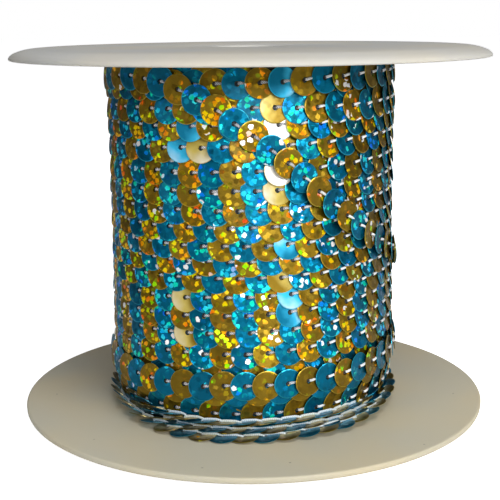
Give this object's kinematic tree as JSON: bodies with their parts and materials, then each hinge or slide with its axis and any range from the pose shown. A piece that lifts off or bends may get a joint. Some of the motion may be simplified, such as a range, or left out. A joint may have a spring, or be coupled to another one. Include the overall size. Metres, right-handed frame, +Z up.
{
  "type": "sequin trim wound on a spool",
  "caption": "String of overlapping round holographic sequins, turquoise and gold by turns, wound on a plain plastic spool with two round flanges.",
  "frame": {"origin": "on the spool's axis at the outer face of the lower flange, where it rests", "axes": "+Z up along the spool's axis, -Y towards the front, +X to the right as seen from the front"},
  "size_m": [0.1022, 0.1022, 0.0789],
  "materials": {
    "lower_half_plastic": "ivory moulded plastic, slightly milky, half gloss",
    "upper_half_plastic": "ivory moulded plastic, slightly milky, half gloss",
    "sequin_trim": "round foil sequins with a dotted holographic shine, strung by a thin white thread"
  },
  "bodies": {
    "root": {"spool_lower_half": "lower_half_plastic", "spool_upper_half": "upper_half_plastic", "winding": "sequin_trim"}
  },
  "joints": []
}
